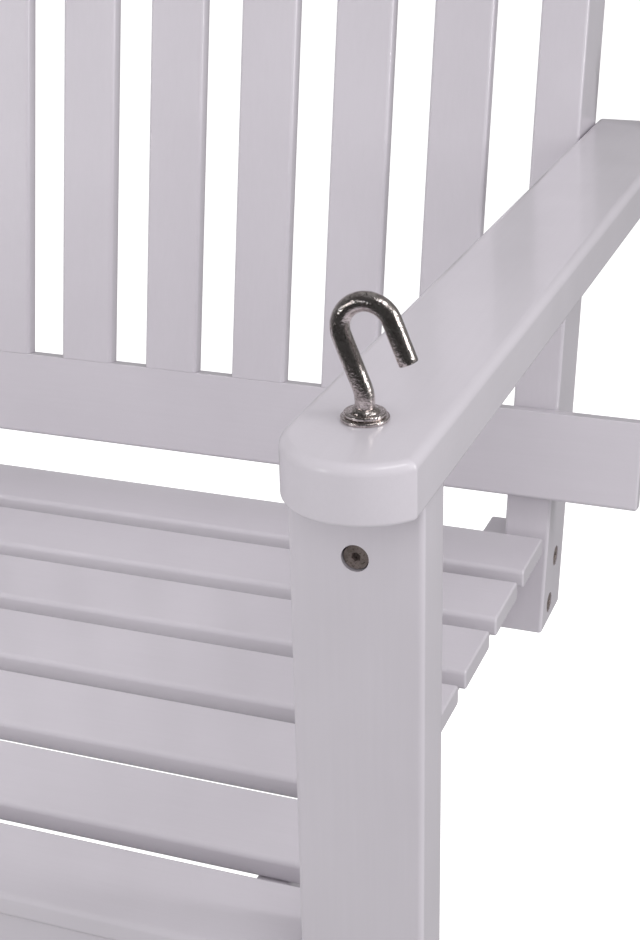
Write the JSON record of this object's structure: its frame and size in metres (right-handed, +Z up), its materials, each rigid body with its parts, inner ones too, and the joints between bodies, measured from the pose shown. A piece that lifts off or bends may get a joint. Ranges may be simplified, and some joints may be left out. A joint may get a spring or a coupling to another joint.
{
  "type": "porch swing seat",
  "caption": "Slatted wooden porch swing bench without legs, with a reclined slatted back, flat armrests and open steel hooks in the armrests for hanging it from chains.",
  "frame": {"origin": "on the ground plane under the middle of the bounding box, level with the lower ends of the posts", "axes": "+X along the bench to a viewer's right as seen from the front, +Y from the front to the back, +Z up"},
  "size_m": [1.2372, 0.6496, 0.5995],
  "materials": {
    "white_paint": "satin white paint on wood, edges eased",
    "nickel_steel": "nickel-plated steel, slightly worn",
    "dark_steel": "grey-brown zinc-plated steel",
    "beech": "bare fluted beech dowel"
  },
  "bodies": {
    "bench": {"arm_left": "white_paint", "arm_right": "white_paint", "front_post_left": "white_paint", "front_post_right": "white_paint", "rear_post_left": "white_paint", "rear_post_right": "white_paint", "seat_bearer_left": "white_paint", "seat_bearer_centre": "white_paint", "seat_bearer_right": "white_paint", "front_rail": "white_paint", "rear_seat_rail": "white_paint", "back_bottom_rail": "white_paint", "back_top_rail": "white_paint", "back_slat_1": "white_paint", "back_slat_2": "white_paint", "back_slat_3": "white_paint", "back_slat_4": "white_paint", "back_slat_5": "white_paint", "back_slat_6": "white_paint", "back_slat_7": "white_paint", "back_slat_8": "white_paint", "back_slat_9": "white_paint", "back_slat_10": "white_paint", "back_slat_11": "white_paint", "back_slat_12": "white_paint", "back_slat_13": "white_paint", "back_slat_14": "white_paint", "back_slat_15": "white_paint", "seat_slat_1": "white_paint", "seat_slat_2": "white_paint", "seat_slat_3": "white_paint", "seat_slat_4": "white_paint", "seat_slat_5": "white_paint", "seat_slat_6": "white_paint", "seat_slat_7": "white_paint", "hook_washers": "nickel_steel", "rear_hook_nuts": "nickel_steel", "rear_hook_lower_washers": "nickel_steel", "back_rail_screws": "nickel_steel", "front_rail_screws": "nickel_steel", "rear_rail_screws": "nickel_steel", "front_barrel_nuts": "dark_steel", "rear_post_bolts": "dark_steel", "rear_post_sleeve_nuts": "dark_steel", "front_post_bolts": "dark_steel", "front_rail_barrel_nuts": "dark_steel", "arm_bolts": "dark_steel", "arm_barrel_nuts": "dark_steel", "arm_dowels": "beech", "seat_slat_dowels": "beech"},
    "hook_front_left": {"hook_front_left": "nickel_steel"},
    "hook_front_right": {"hook_front_right": "nickel_steel"},
    "hook_rear_left": {"hook_rear_left": "nickel_steel"},
    "hook_rear_right": {"hook_rear_right": "nickel_steel"}
  },
  "joints": [
    {"name": "hook_front_left_turn", "type": "hinge", "parent": "bench", "child": "hook_front_left", "pos_m": [-0.5815, -0.27832, 0.335], "axis": [0, 0, 1], "range_deg": [-180, 180]},
    {"name": "hook_front_right_turn", "type": "hinge", "parent": "bench", "child": "hook_front_right", "pos_m": [0.5815, -0.27832, 0.335], "axis": [0, 0, 1], "range_deg": [-180, 180]},
    {"name": "hook_rear_left_turn", "type": "hinge", "parent": "bench", "child": "hook_rear_left", "pos_m": [-0.597, 0.26768, 0.335], "axis": [0, 0, 1], "range_deg": [-180, 180]},
    {"name": "hook_rear_right_turn", "type": "hinge", "parent": "bench", "child": "hook_rear_right", "pos_m": [0.597, 0.26768, 0.335], "axis": [0, 0, 1], "range_deg": [-180, 180]}
  ]
}
